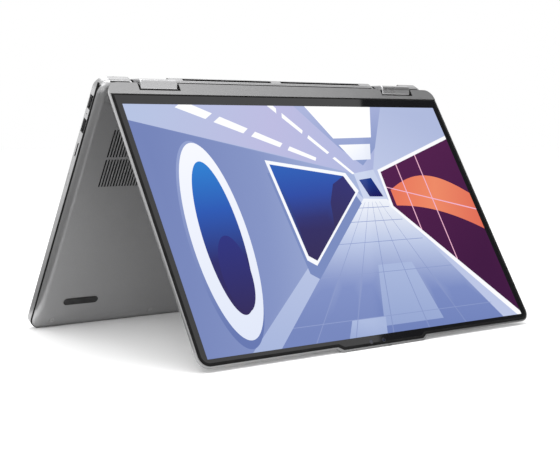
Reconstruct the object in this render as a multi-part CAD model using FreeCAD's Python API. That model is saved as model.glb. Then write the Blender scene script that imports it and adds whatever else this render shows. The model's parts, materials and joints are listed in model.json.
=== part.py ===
import FreeCAD, Part
import math
import os
from FreeCAD import Placement, Rotation, Vector

# A 16-inch convertible laptop computer, standing in tent mode: the lid is turned
# most of the way round and both halves lean against each other like a roof.
# Millimetres. World +X runs along the hinge, +Z is up, the screen faces -Y, and the
# origin is on the floor under the middle of the object.
#
# The two halves are drawn shut, each in its own frame. In both, Y runs from the hinge
# to the front edge and Z is up. The base frame starts on the base's hinge axis and
# the lid frame on the lid's. X keeps its direction in all frames, and the user's
# right hand is at -X.

# ---- driving dimensions -------------------------------------------------------------
BODY_WIDTH = 361.4
CORNER_RADIUS = 10.0
BASE_REAR = -3.6
BODY_FRONT = 242.4
DECK_Z = 6.75
SEAM_Z = 0.4
UNDERSIDE_Z = -5.85
BASE_WALL = 1.2
SIDE_WALL = 1.5
SEAM_CHAMFER = 0.4
COVER_INSET = 0.25
SCREW_BORE_RADIUS = 1.0
BOSS_RADIUS = 3.0

LID_REAR = 0.4
LID_BACK_Z = 2.7
GLASS_Z = -2.8
LID_WALL = 0.8
LID_EDGE_RADIUS = 4.4
RIM_WIDTH = 1.2
RIM_Z = -2.45
CHIN_FRONT = 10.85
BUMP_HALF_WIDTH = 50.0
BUMP_DEPTH = 3.0

ACTIVE_WIDTH = 344.68
ACTIVE_HEIGHT = 215.42
ACTIVE_REAR = 20.4

AXIS_SPACING = 9.85
HALF_TENT_ANGLE = 30.7
STANCE_TILT = 0.487

HINGE_IN = 114.5
HINGE_OUT = 149.9
HINGE_HALF_DEPTH = 4.45
HINGE_INSIDE_RADIUS = 3.9
HINGE_OUTSIDE_RADIUS = 1.3
HINGE_END_RADIUS = 0.9
NOTCH_IN = 112.6
NOTCH_OUT = 152.0
NOTCH_FRONT = 7.4
SHAFT_RADIUS = 1.6
SHAFT_CLEARANCE = 0.05
SHAFT_HOLE_GAP = 0.3

KEY_PITCH = 19.05
KEY_GAP = 2.85
KEY_TOP_Z = 6.6
KEY_THICKNESS = 2.0
KEY_WINDOW_CLEARANCE = 0.25
KEYBOARD_REAR = 30.5
FUNCTION_KEY_DEPTH = 11.0
KEYBOARD_PLATE_TOP = 3.0
KEYBOARD_PLATE_THICKNESS = 0.5

TOUCHPAD_WIDTH = 135.0
TOUCHPAD_REAR = 149.0
TOUCHPAD_FRONT = 233.0
TOUCHPAD_CORNER_RADIUS = 3.0
TOUCHPAD_GAP = 0.3

FOOT_HEIGHT = 0.9
FOOT_WIDTH = 6.5
FRONT_FOOT_X = (122.9, 156.8)
FRONT_FOOT_Y = 212.2
REAR_FOOT_HALF_LENGTH = 95.0
REAR_FOOT_Y = 24.0
FAN_X = 80.0
FAN_Y = 64.5
FAN_SIZE = 61.0
ROTOR_RADIUS = 25.0
ROTOR_BLADES = 17
ROTOR_SWEEP = 28.0

HALF_WIDTH = BODY_WIDTH / 2
DECK_INNER_Z = DECK_Z - BASE_WALL
FLOOR_INNER_Z = UNDERSIDE_Z + BASE_WALL
LID_INNER_Z = LID_BACK_Z - LID_WALL
X_AXIS = Vector(1, 0, 0)


# ---- shape helpers ------------------------------------------------------------------
def box(x0, x1, y0, y1, z0, z1):
    """A block between two opposite corners, given in any order."""
    low = Vector(min(x0, x1), min(y0, y1), min(z0, z1))
    return Part.makeBox(abs(x1 - x0), abs(y1 - y0), abs(z1 - z0), low)


def outline(x0, x1, y0, y1, z, radius):
    """A closed rounded rectangle at height z."""
    if radius <= 0:
        corners = [Vector(x0, y0, z), Vector(x1, y0, z), Vector(x1, y1, z), Vector(x0, y1, z)]
        return Part.makePolygon(corners + corners[:1])
    half = radius * (1 - math.sqrt(0.5))
    arcs = []
    for cx, cy, sx, sy in ((x1, y0, -1, 1), (x1, y1, -1, -1), (x0, y1, 1, -1), (x0, y0, 1, 1)):
        on_x = Vector(cx + sx * radius, cy, z)
        on_y = Vector(cx, cy + sy * radius, z)
        middle = Vector(cx + sx * half, cy + sy * half, z)
        ends = (on_x, on_y) if sx * sy < 0 else (on_y, on_x)
        arcs.append(Part.Arc(ends[0], middle, ends[1]).toShape())
    edges = []
    for index, arc in enumerate(arcs):
        following = arcs[(index + 1) % 4]
        start = arc.Vertexes[-1].Point
        end = following.Vertexes[0].Point
        edges.append(arc)
        if start.distanceToPoint(end) > 1e-6:
            edges.append(Part.LineSegment(start, end).toShape())
    return Part.Wire(edges)


def slab(x0, x1, y0, y1, z0, z1, radius):
    """A plate with rounded corners."""
    face = Part.Face(outline(min(x0, x1), max(x0, x1), y0, y1, z0, radius))
    return face.extrude(Vector(0, 0, z1 - z0))


def rod(x0, x1, y, z, radius):
    """A round bar along X."""
    start = Vector(min(x0, x1), y, z)
    return Part.makeCylinder(radius, abs(x1 - x0), start, X_AXIS)


def post(x, y, z0, z1, radius):
    """A round bar along Z."""
    return Part.makeCylinder(radius, z1 - z0, Vector(x, y, z0), Vector(0, 0, 1))


def group(shapes):
    """Several separate solids as one shape."""
    return Part.makeCompound(shapes)


def fuse(shapes):
    """One solid from touching or overlapping shapes."""
    joined = shapes[0].multiFuse(shapes[1:]) if len(shapes) > 1 else shapes[0]
    return joined.removeSplitter()


def mirrored(shape):
    """The same shape on the other side of the middle plane."""
    return shape.mirror(Vector(0, 0, 0), X_AXIS)


def both_sides(shape):
    return group([shape, mirrored(shape)])


def edges_at_height(shape, z):
    """The edges that lie flat at height z."""
    found = []
    for edge in shape.Edges:
        limits = edge.BoundBox
        if abs(limits.ZMin - z) < 1e-4 and abs(limits.ZMax - z) < 1e-4:
            found.append(edge)
    return found


# ---- keyboard layout ----------------------------------------------------------------
# Widths are in units of the key pitch. Each row adds up to fifteen units. Rows run
# from the user's left (+X) to the user's right (-X).
ROW_UNITS = 15.0


def keyboard_rows():
    """Every key as (node name, left unit, width in units, rear Y, depth)."""
    depth = KEY_PITCH - KEY_GAP
    function_row = KEYBOARD_REAR
    number_row = function_row + FUNCTION_KEY_DEPTH + KEY_GAP
    upper_row = number_row + KEY_PITCH
    home_row = upper_row + KEY_PITCH
    lower_row = home_row + KEY_PITCH
    bottom_row = lower_row + KEY_PITCH
    keys = []

    def run(name, left, count, width, rear, key_depth=depth):
        for index in range(count):
            keys.append((name, left + index * width, width, rear, key_depth))

    run("keys_function_row", 0.0, 15, 1.0, function_row, FUNCTION_KEY_DEPTH)
    run("keys_number_row", 0.0, 13, 1.0, number_row)
    run("key_backspace", 13.0, 1, 2.0, number_row)
    run("key_tab", 0.0, 1, 1.5, upper_row)
    run("keys_upper_row", 1.5, 12, 1.0, upper_row)
    run("keys_upper_row", 13.5, 1, 1.5, upper_row)
    run("key_caps_lock", 0.0, 1, 1.75, home_row)
    run("keys_home_row", 1.75, 11, 1.0, home_row)
    run("key_enter", 12.75, 1, 2.25, home_row)
    run("key_shift_left", 0.0, 1, 2.25, lower_row)
    run("keys_lower_row", 2.25, 10, 1.0, lower_row)
    run("key_shift_right", 12.25, 1, 2.75, lower_row)
    run("keys_modifier_row", 0.0, 4, 1.125, bottom_row)
    run("key_space", 4.5, 1, 5.0, bottom_row)
    run("keys_modifier_row", 9.5, 2, 1.25, bottom_row)
    half_depth = (depth - 1.0) / 2
    run("keys_arrows", 12.0, 1, 1.0, bottom_row + half_depth + 1.0, half_depth)
    run("keys_arrows", 13.0, 1, 1.0, bottom_row, half_depth)
    run("keys_arrows", 13.0, 1, 1.0, bottom_row + half_depth + 1.0, half_depth)
    run("keys_arrows", 14.0, 1, 1.0, bottom_row + half_depth + 1.0, half_depth)
    return keys


def key_edges(left, width, rear, depth):
    """The key's rectangle as x0, x1, y0, y1."""
    from_left = ROW_UNITS / 2 - left
    high = from_left * KEY_PITCH - KEY_GAP / 2
    low = (from_left - width) * KEY_PITCH + KEY_GAP / 2
    return low, high, rear, rear + depth


def key_nodes():
    nodes = {}
    for name, left, width, rear, depth in keyboard_rows():
        x0, x1, y0, y1 = key_edges(left, width, rear, depth)
        cap = slab(x0, x1, y0, y1, KEY_TOP_Z - KEY_THICKNESS, KEY_TOP_Z, 1.4)
        cap = cap.makeChamfer(0.3, edges_at_height(cap, KEY_TOP_Z))
        nodes.setdefault(name, []).append(cap)
    return {name: group(caps) for name, caps in nodes.items()}


def keyboard_plate():
    reach = ROW_UNITS / 2 * KEY_PITCH + 1.5
    front = KEYBOARD_REAR + FUNCTION_KEY_DEPTH + 5 * KEY_PITCH + 0.7
    low = KEYBOARD_PLATE_TOP - KEYBOARD_PLATE_THICKNESS
    return slab(-reach, reach, KEYBOARD_REAR - 1.5, front, low, KEYBOARD_PLATE_TOP, 2.0)


# ---- base: shells -------------------------------------------------------------------
USB_A_Y = (18.0, 39.7)
CARD_SLOT_Y = (56.1, 68.5)
POWER_BUTTON_Y = (84.5, 96.5)
HDMI_Y = (14.0, 29.0)
USB_C_Y = (41.0, 57.5)
AUDIO_Y = 72.0
PORT_Z = 3.1
USB_A_OPENING = (12.4, 4.5)
USB_C_OPENING = (9.0, 3.2)
HDMI_HEIGHT = 4.5
AUDIO_RADIUS = 1.8
CARD_Z = (2.4, 4.1)
BUTTON_Z = (2.5, 4.7)
BUTTON_GAP = 0.15
PIN_HOLE_Y = 28.85
PIN_HOLE_RADIUS = 0.5
REAR_VENT_Z = (2.2, 5.2)
REAR_VENT_START = 5.5
REAR_VENT_COUNT = 16
REAR_VENT_PITCH = 5.9
REAR_VENT_RIB = 0.9
REAR_VENT_GROOVE = 0.9
SPEAKER_SLOT = (1.1, 3.0)
SPEAKER_PITCH = (4.0, 4.2)
SPEAKER_CORNER = (153.5, 35.5)
SPEAKER_COUNT = (5, 24)
INTAKE_ROWS = ((38.7, 64.6), (66.8, 93.2))
INTAKE_START = 57.2
INTAKE_PITCH = 2.8
INTAKE_WIDTH = 1.45
INTAKE_COUNT = 36
SCREW_HEAD_RADIUS = 2.2
SCREW_SINK = 0.9
SIDE_CURVE = 6.5
REAR_CURVE = 2.6
FRONT_CURVE = 16.0
CORNER_CURVE = 2.5
SCREW_PLACES = (
    (-163.3, 231.4), (-61.3, 231.4), (61.3, 231.4), (163.3, 231.4),
    (-61.3, 141.2), (61.3, 141.2), (-105.0, 14.0), (0.0, 14.0), (105.0, 14.0),
)


def hinge_notch(z0, z1):
    """The opening in the base's rear edge that a hinge block turns in."""
    return box(NOTCH_IN + 0.4, NOTCH_OUT - 1.0, BASE_REAR - 1, NOTCH_FRONT, z0, z1)


def hinge_pocket(z0, z1):
    """The notch with its own walls."""
    return box(NOTCH_IN - 0.8, NOTCH_OUT + 0.2, BASE_REAR - 1, NOTCH_FRONT + 1.2, z0, z1)


def hinge_openings(z0, z1):
    """Both notches, with the holes that the hinge shafts pass through."""
    notch = hinge_notch(z0, z1)
    hole = rod(NOTCH_OUT - 2, NOTCH_OUT + 1, 0, 0, SHAFT_RADIUS + SHAFT_HOLE_GAP)
    return [notch, mirrored(notch), hole, mirrored(hole)]


def port_openings():
    """The holes in the side walls of the top case."""
    outside = HALF_WIDTH + 1
    inside = HALF_WIDTH - SIDE_WALL - 0.5

    def window(side, y0, y1, z0, z1):
        return box(side * inside, side * outside, y0, y1, z0, z1)

    tools = []
    wide, high = USB_A_OPENING
    for y in USB_A_Y:
        tools.append(window(-1, y - wide / 2, y + wide / 2, PORT_Z - high / 2, PORT_Z + high / 2))
    tools.append(window(-1, *CARD_SLOT_Y, *CARD_Z))
    tools.append(window(-1, POWER_BUTTON_Y[0] - BUTTON_GAP, POWER_BUTTON_Y[1] + BUTTON_GAP,
                        BUTTON_Z[0] - BUTTON_GAP, BUTTON_Z[1] + BUTTON_GAP))
    tools.append(rod(-outside, -inside, PIN_HOLE_Y, PORT_Z, PIN_HOLE_RADIUS))
    tools.append(window(1, *HDMI_Y, PORT_Z - HDMI_HEIGHT / 2, PORT_Z + HDMI_HEIGHT / 2))
    wide, high = USB_C_OPENING
    straight = (wide - high) / 2
    for y in USB_C_Y:
        middle = window(1, y - straight, y + straight, PORT_Z - high / 2, PORT_Z + high / 2)
        ends = [rod(inside, outside, y + end * straight, PORT_Z, high / 2) for end in (-1, 1)]
        tools.append(fuse([middle] + ends))
    tools.append(rod(inside, outside, AUDIO_Y, PORT_Z, AUDIO_RADIUS))
    return tools


def rear_vents():
    """A long groove on each side of the rear wall, with windows at its bottom."""
    low, high = REAR_VENT_Z
    through = BASE_REAR + SIDE_WALL + 0.5
    tools = []
    for sign in (-1, 1):
        near = sign * REAR_VENT_START
        far = sign * (REAR_VENT_START + REAR_VENT_COUNT * REAR_VENT_PITCH - REAR_VENT_RIB)
        tools.append(box(near, far, BASE_REAR - 1, BASE_REAR + REAR_VENT_GROOVE, low, high))
        for index in range(REAR_VENT_COUNT):
            x = REAR_VENT_START + index * REAR_VENT_PITCH
            end = x + REAR_VENT_PITCH - REAR_VENT_RIB
            tools.append(box(sign * x, sign * end, BASE_REAR, through, low, high))
    return tools


def speaker_slots():
    """The perforations beside the keyboard."""
    wide, long = SPEAKER_SLOT
    slots = []
    for column in range(SPEAKER_COUNT[0]):
        for row in range(SPEAKER_COUNT[1]):
            x = SPEAKER_CORNER[0] + column * SPEAKER_PITCH[0]
            y = SPEAKER_CORNER[1] + row * SPEAKER_PITCH[1]
            slots.append(box(x, x + wide, y, y + long, DECK_INNER_Z - 1, DECK_Z + 1))
    return slots + [mirrored(slot) for slot in slots]


def top_case():
    shell = slab(-HALF_WIDTH, HALF_WIDTH, BASE_REAR, BODY_FRONT, SEAM_Z, DECK_Z, CORNER_RADIUS)
    shell = shell.makeChamfer(0.5, edges_at_height(shell, DECK_Z))
    shell = shell.makeChamfer(SEAM_CHAMFER, edges_at_height(shell, SEAM_Z))
    inner = HALF_WIDTH - SIDE_WALL
    rear, front = BASE_REAR + SIDE_WALL, BODY_FRONT - SIDE_WALL
    hollow = slab(-inner, inner, rear, front, SEAM_Z, DECK_INNER_Z, CORNER_RADIUS - SIDE_WALL)
    pockets = both_sides(hinge_pocket(SEAM_Z, DECK_INNER_Z))
    bosses = [post(x, y, SEAM_Z, DECK_INNER_Z, BOSS_RADIUS) for x, y in SCREW_PLACES]
    shell = shell.cut(hollow.cut(group([pockets] + bosses)))
    bores = [post(x, y, SEAM_Z - 1, DECK_INNER_Z - 1, SCREW_BORE_RADIUS) for x, y in SCREW_PLACES]
    windows = []
    for _, left, width, rear, depth in keyboard_rows():
        x0, x1, y0, y1 = key_edges(left, width, rear, depth)
        gap = KEY_WINDOW_CLEARANCE
        windows.append(box(x0 - gap, x1 + gap, y0 - gap, y1 + gap, DECK_INNER_Z - 1, DECK_Z + 1))
    gap = TOUCHPAD_GAP
    half_pad = TOUCHPAD_WIDTH / 2 + gap
    pad_rear, pad_front = TOUCHPAD_REAR - gap, TOUCHPAD_FRONT + gap
    windows.append(slab(-half_pad, half_pad, pad_rear, pad_front, DECK_INNER_Z - 1, DECK_Z + 1,
                        TOUCHPAD_CORNER_RADIUS + gap))
    tools = bores + windows + hinge_openings(SEAM_Z - 1, DECK_Z + 1)
    return shell.cut(group(tools + port_openings() + rear_vents() + speaker_slots()))


def bottom_body(gap):
    """The bottom cover's form, set in by gap from the body's full plan.

    The sides, the front and the rear curve in like quarter ellipses on the way down.
    """
    sections = []
    steps = 6
    drop = SEAM_Z - UNDERSIDE_Z - (gap - COVER_INSET)
    for index in range(steps + 1):
        turn = math.radians(90.0 * index / steps)
        inward = 1 - math.cos(turn)
        side = HALF_WIDTH - gap - SIDE_CURVE * inward
        rear = BASE_REAR + gap + REAR_CURVE * inward
        front = BODY_FRONT - gap - FRONT_CURVE * inward
        z = SEAM_Z - drop * math.sin(turn)
        radius = CORNER_RADIUS - gap / 2 + CORNER_CURVE * inward
        sections.append(outline(-side, side, rear, front, z, radius))
    return Part.makeLoft(sections, True, False)


def intake_slots():
    """Long narrow air slots in two rows under each fan."""
    slots = []
    for rear, front in INTAKE_ROWS:
        for index in range(INTAKE_COUNT):
            x = INTAKE_START + index * INTAKE_PITCH
            slots.append(box(x, x + INTAKE_WIDTH, rear, front, UNDERSIDE_Z - 1, FLOOR_INNER_Z + 0.5))
    return slots + [mirrored(slot) for slot in slots]


def bottom_cover():
    outer = bottom_body(COVER_INSET)
    inner = bottom_body(COVER_INSET + BASE_WALL)
    pockets = both_sides(hinge_pocket(UNDERSIDE_Z, SEAM_Z))
    bosses = [post(x, y, UNDERSIDE_Z, SEAM_Z, BOSS_RADIUS) for x, y in SCREW_PLACES]
    shell = outer.cut(inner.cut(group([pockets] + bosses)))
    holes = []
    for x, y in SCREW_PLACES:
        holes.append(post(x, y, UNDERSIDE_Z - 1, SEAM_Z + 1, SCREW_BORE_RADIUS))
        holes.append(post(x, y, UNDERSIDE_Z - 5, UNDERSIDE_Z + SCREW_SINK, SCREW_HEAD_RADIUS + 0.2))
    tools = holes + hinge_openings(UNDERSIDE_Z - 1, SEAM_Z + 1) + intake_slots()
    return shell.cut(group(tools))


def bottom_screws():
    screws = []
    for x, y in SCREW_PLACES:
        head = post(x, y, UNDERSIDE_Z + 0.1, UNDERSIDE_Z + SCREW_SINK, SCREW_HEAD_RADIUS)
        shank = post(x, y, UNDERSIDE_Z + SCREW_SINK, DECK_INNER_Z - 1.5, SCREW_BORE_RADIUS)
        socket = post(x, y, UNDERSIDE_Z, UNDERSIDE_Z + 0.6, 0.9)
        screws.append(fuse([head, shank]).cut(socket))
    return group(screws)


def foot(x0, x1, y):
    low = UNDERSIDE_Z - FOOT_HEIGHT
    half = FOOT_WIDTH / 2
    pad = slab(x0, x1, y - half, y + half, low, UNDERSIDE_Z, half - 0.01)
    return pad.makeChamfer(0.3, edges_at_height(pad, low))


def front_feet():
    return both_sides(foot(*FRONT_FOOT_X, FRONT_FOOT_Y))


def rear_foot():
    return foot(-REAR_FOOT_HALF_LENGTH, REAR_FOOT_HALF_LENGTH, REAR_FOOT_Y)


# ---- base: controls and ports -------------------------------------------------------
def touchpad():
    half = TOUCHPAD_WIDTH / 2
    top = DECK_Z - 0.15
    return slab(-half, half, TOUCHPAD_REAR, TOUCHPAD_FRONT, top - 1.6, top, TOUCHPAD_CORNER_RADIUS)


def power_button():
    """A bar in the side wall with a flange that keeps it in."""
    outside = HALF_WIDTH - 0.05
    flange = HALF_WIDTH - SIDE_WALL - 0.05
    bar = box(-outside, -flange, POWER_BUTTON_Y[0], POWER_BUTTON_Y[1], BUTTON_Z[0], BUTTON_Z[1])
    plate = box(-flange, -flange + 0.8, POWER_BUTTON_Y[0] - 1.2, POWER_BUTTON_Y[1] + 1.2,
                BUTTON_Z[0] - 0.8, BUTTON_Z[1] + 0.6)
    return fuse([bar, plate])


def socket(side, y, width, height, depth, tongue):
    """A metal receptacle just inside the wall, with a contact tongue standing in it."""
    mouth = HALF_WIDTH - SIDE_WALL - 0.02
    shell = 0.25

    def bar(near, far, wide, high, z):
        return box(side * near, side * far, y - wide / 2, y + wide / 2, z - high / 2, z + high / 2)

    body = bar(mouth, mouth - depth, width + 2 * shell, height + 2 * shell, PORT_Z)
    room = bar(mouth + 1, mouth - depth + 1, width, height, PORT_Z)
    blade_width, blade_height, blade_z = tongue
    blade = bar(mouth - 0.8, mouth - depth + 0.5, blade_width, blade_height, PORT_Z + blade_z)
    return body.cut(room).fuse(blade)


def usb_a_ports():
    wide, high = USB_A_OPENING
    return group([socket(-1, y, wide, high - 0.2, 13.0, (10.0, 1.4, 0.9)) for y in USB_A_Y])


def usb_c_ports():
    wide, high = USB_C_OPENING
    return group([socket(1, y, wide, high, 7.5, (6.7, 0.7, 0.0)) for y in USB_C_Y])


def hdmi_port():
    middle = sum(HDMI_Y) / 2
    wide = HDMI_Y[1] - HDMI_Y[0]
    return socket(1, middle, wide, HDMI_HEIGHT - 0.2, 11.0, (11.5, 1.0, 0.3))


def card_reader():
    middle = sum(CARD_SLOT_Y) / 2
    mouth = HALF_WIDTH - SIDE_WALL - 0.02
    body = box(-mouth, -mouth + 15.0, middle - 7.2, middle + 7.2, CARD_Z[0] - 0.6, CARD_Z[1] + 0.5)
    room = box(-mouth - 1, -mouth + 14.0, CARD_SLOT_Y[0], CARD_SLOT_Y[1], CARD_Z[0], CARD_Z[1])
    return body.cut(room)


def audio_jack():
    mouth = HALF_WIDTH - SIDE_WALL - 0.02
    body = box(mouth, mouth - 14.6, AUDIO_Y - 3.0, AUDIO_Y + 3.0, PORT_Z - 2.4, PORT_Z + 2.4)
    return body.cut(rod(mouth + 1, mouth - 14.0, AUDIO_Y, PORT_Z, AUDIO_RADIUS - 0.05))


# ---- base: inside -------------------------------------------------------------------
BOARD_Z = (-0.7, 0.5)
FIN_PITCH = 2.2
FIN_COUNT = 41


def mainboard():
    low, high = BOARD_Z
    middle = box(-47, 47, 27, 134, low, high)
    wing = box(-145, 145, 98, 134, low, high)
    processor = box(-17, 17, 38, 70, low - 1.0, low)
    memory = [box(x, x + 14, 78, 90, low - 1.0, low) for x in (-34, -16, 2, 20)]
    return fuse([middle, wing, processor] + memory)


def io_board():
    """The small board under the right-hand ports."""
    high = CARD_Z[0] - 0.6
    board = box(-HALF_WIDTH + SIDE_WALL + 1.5, -160.2, 48.0, 80.0, high - 1.2, high)
    plug = box(-166, -161, 70, 78, high, high + 2.0)
    return fuse([board, plug])


def card(x0, x1, y0, y1, chips):
    """A plug-in board hanging under the mainboard."""
    low = BOARD_Z[0] - 2.0
    parts = [box(x0, x1, y0, y1, low, low + 0.8), box(x0, x0 + 5, y0, y1, low + 0.8, BOARD_Z[0])]
    for cx0, cx1 in chips:
        parts.append(box(cx0, cx1, y0 + 2, y1 - 2, low - 1.0, low))
    return fuse(parts)


def battery_pack():
    """Four flat cells held in one frame."""
    cells = []
    for index in range(4):
        x = -139.0 + index * 70.0
        cells.append(slab(x, x + 68.0, 147.0, 223.0, FLOOR_INNER_Z + 0.2, 2.0, 3.0))
    frame = box(-140, 140, 146.0, 224.5, FLOOR_INNER_Z + 0.2, FLOOR_INNER_Z + 1.0)
    lead = box(-20, 20, 143.5, 146.0, FLOOR_INNER_Z + 0.2, FLOOR_INNER_Z + 3.0)
    return fuse(cells + [frame, lead])


def fan_housing():
    """A blower case: round inlets below and above, outlet towards the rear."""
    half = FAN_SIZE / 2
    low = FLOOR_INNER_Z + 0.3
    high = KEYBOARD_PLATE_TOP - KEYBOARD_PLATE_THICKNESS - 0.3
    body = slab(FAN_X - half, FAN_X + half, FAN_Y - half, FAN_Y + half, low, high, 4.0)
    chamber = post(FAN_X, FAN_Y, low + 0.5, high - 0.5, ROTOR_RADIUS + 2.0)
    inner_half = half - 2.5
    x0, x1 = FAN_X - inner_half, FAN_X + inner_half
    outlet = box(x0, x1, FAN_Y - half - 1, FAN_Y - 8, low + 0.5, high - 0.5)
    inlet = post(FAN_X, FAN_Y, low - 1, low + 1, 19.0)
    pin = post(FAN_X, FAN_Y, high - 3.5, high - 0.4, 0.75)
    return body.cut(chamber).cut(outlet).cut(inlet).fuse(pin)


def fan_rotor():
    """A hub on the housing's pin, with thin blades around it."""
    low = FLOOR_INNER_Z + 1.2
    high = KEYBOARD_PLATE_TOP - KEYBOARD_PLATE_THICKNESS - 1.2
    hub = post(FAN_X, FAN_Y, low, high, 10.0)
    root = FAN_X + 9.0
    blades = []
    for index in range(ROTOR_BLADES):
        blade = box(root, FAN_X + ROTOR_RADIUS, FAN_Y - 0.3, FAN_Y + 0.3, low + 0.4, high - 0.4)
        blade.rotate(Vector(root, FAN_Y, 0), Vector(0, 0, 1), ROTOR_SWEEP)
        blade.rotate(Vector(FAN_X, FAN_Y, 0), Vector(0, 0, 1), index * 360.0 / ROTOR_BLADES)
        blades.append(blade)
    inside = post(FAN_X, FAN_Y, low - 1, high + 1, ROTOR_RADIUS)
    bore = post(FAN_X, FAN_Y, high - 3.2, high + 1, 0.8)
    return fuse([hub] + blades).common(inside).cut(bore)


def heatsink():
    """A stack of fins between the fan's outlet and the rear vents."""
    rear = BASE_REAR + SIDE_WALL + 1.0
    plate = box(9, 98, rear, 25.0, -0.7, -0.1)
    lefts = [9 + index * FIN_PITCH for index in range(FIN_COUNT)]
    fins = [box(x, x + 0.4, rear, 25.0, -0.1, 5.2) for x in lefts]
    clear = [post(x, y, -2, 6, 3.2) for x, y in SCREW_PLACES]
    return fuse([plate] + fins).cut(group(clear))


def heat_pipe():
    """A flattened copper pipe from the fins, round a bend, to the processor."""
    low, high = -2.7, -0.7
    half = 3.0
    bend = 8.0
    along = box(12.0 + bend, 92, 15 - half, 15 + half, low, high)
    centre_x = 12.0 + bend
    centre_y = 15.0 + bend
    ring = post(centre_x, centre_y, low, high, bend + half)
    ring = ring.cut(post(centre_x, centre_y, low - 1, high + 1, bend - half))
    corner = ring.common(box(centre_x - 20, centre_x, centre_y - 20, centre_y, low, high))
    across = box(12 - half, 12 + half, centre_y, 36.0, low, high)
    tail = box(12 - half, 12 + half, 36.0, 68.0, low, low + 1.0)
    return fuse([along, corner, across, tail])


def speaker():
    body = slab(150.5, 176.0, 83.0, 139.0, -2.6, 4.6, 4.0)
    dish = post(163.25, 111.0, 3.6, 5, 9.0)
    dome = post(163.25, 111.0, 3.6, 4.2, 5.0)
    return body.cut(dish).fuse(dome)


# ---- hinges -------------------------------------------------------------------------
# The hinge block carries two shafts. The lower one is fixed in the base and the upper
# one in the lid. Block coordinates are those of the shut laptop, so the lid's axis is
# straight above the base's.
GEAR_X = (127.0, 131.0)
GEAR_TEETH = 8
GEAR_PITCH_RADIUS = AXIS_SPACING / 6
GEAR_ADDENDUM = 0.26
GEAR_DEDENDUM = 0.42
GEAR_BORE = 0.6


def gear(y, z, turned_deg):
    """A small spur gear along X with blunt teeth and plenty of backlash."""
    points = []
    step = 2 * math.pi / GEAR_TEETH
    profile = (
        (-0.36, GEAR_PITCH_RADIUS - GEAR_DEDENDUM), (-0.20, GEAR_PITCH_RADIUS),
        (-0.09, GEAR_PITCH_RADIUS + GEAR_ADDENDUM), (0.09, GEAR_PITCH_RADIUS + GEAR_ADDENDUM),
        (0.20, GEAR_PITCH_RADIUS), (0.36, GEAR_PITCH_RADIUS - GEAR_DEDENDUM),
    )
    for tooth in range(GEAR_TEETH):
        for share, radius in profile:
            angle = math.radians(turned_deg) + (tooth + share) * step
            points.append(Vector(GEAR_X[0], y + radius * math.cos(angle), z + radius * math.sin(angle)))
    face = Part.Face(Part.makePolygon(points + points[:1]))
    return face.extrude(Vector(GEAR_X[1] - GEAR_X[0], 0, 0))


def hinge_block():
    half = HINGE_HALF_DEPTH
    block = box(HINGE_IN, HINGE_OUT, -half, half, -half, AXIS_SPACING + half)
    for radius, y in ((HINGE_INSIDE_RADIUS, half), (HINGE_OUTSIDE_RADIUS, -half)):
        long_edges = []
        for edge in block.Edges:
            limits = edge.BoundBox
            if limits.XLength > 1 and abs(limits.YMin - y) < 1e-4 and abs(limits.YMax - y) < 1e-4:
                long_edges.append(edge)
        block = block.makeFillet(radius, long_edges)
    end_edges = [edge for edge in block.Edges if edge.BoundBox.XLength < 1e-6]
    block = block.makeFillet(HINGE_END_RADIUS, end_edges)
    bore = SHAFT_RADIUS + SHAFT_CLEARANCE
    base_bore = rod(GEAR_X[0] - 4.2, HINGE_OUT + 1, 0, 0, bore)
    lid_bore = rod(HINGE_IN - 1, GEAR_X[1] + 4.2, 0, AXIS_SPACING, bore)
    gear_room = box(GEAR_X[0] - 0.2, GEAR_X[1] + 0.2, -2.4, 2.4, -2.4, AXIS_SPACING + 2.4)
    pins = []
    for place in (1, 2):
        pins.append(rod(GEAR_X[0] - 0.2, GEAR_X[1] + 0.2, 0, place * AXIS_SPACING / 3, GEAR_BORE - 0.05))
    return block.cut(group([base_bore, lid_bore, gear_room])).fuse(pins)


def idler_gear(place, turned_deg):
    """One of the two gears between the shafts, which make both halves open alike."""
    z = place * AXIS_SPACING / 3
    bore = rod(GEAR_X[0] - 1, GEAR_X[1] + 1, 0, z, GEAR_BORE)
    return gear(0, z, turned_deg).cut(bore)


def base_leaf():
    """The base's half of the hinge: a shaft with its gear and a screwed plate."""
    shaft = rod(GEAR_X[1], 153.0, 0, 0, SHAFT_RADIUS)
    tip = rod(GEAR_X[0] - 4.0, GEAR_X[0], 0, 0, SHAFT_RADIUS - 0.5)
    knuckle = rod(152.5, 158.0, 0, 0, 2.0)
    arm = box(152.5, 158.0, 0, 9.0, -1.0, 2.0)
    plate = box(152.5, 164.0, 8.0, 30.0, 1.0, 2.0)
    plate = plate.cut(group([post(158.0, y, 0, 3, 1.2) for y in (14.0, 26.0)]))
    return fuse([shaft, tip, gear(0, 0, 0), knuckle, arm, plate])


def lid_leaf():
    """The lid's half of the hinge, in the lid's frame."""
    inner_end = NOTCH_IN + 0.5
    outer_face = HINGE_IN - 0.3
    shaft = rod(inner_end, GEAR_X[0], 0, 0, SHAFT_RADIUS)
    tip = rod(GEAR_X[1], GEAR_X[1] + 4.0, 0, 0, SHAFT_RADIUS - 0.5)
    disc = rod(inner_end, outer_face, 0, 0, 2.4)
    arm = box(inner_end, outer_face, 0, 9.5, -1.2, 1.6)
    plate = box(84.0, outer_face, 9.0, 15.5, 0.6, 1.6)
    plate = plate.cut(group([post(x, 12.2, 0, 3, 1.1) for x in (88.0, 100.0)]))
    return fuse([shaft, tip, gear(0, 0, 180.0 / GEAR_TEETH), disc, arm, plate])


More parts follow.
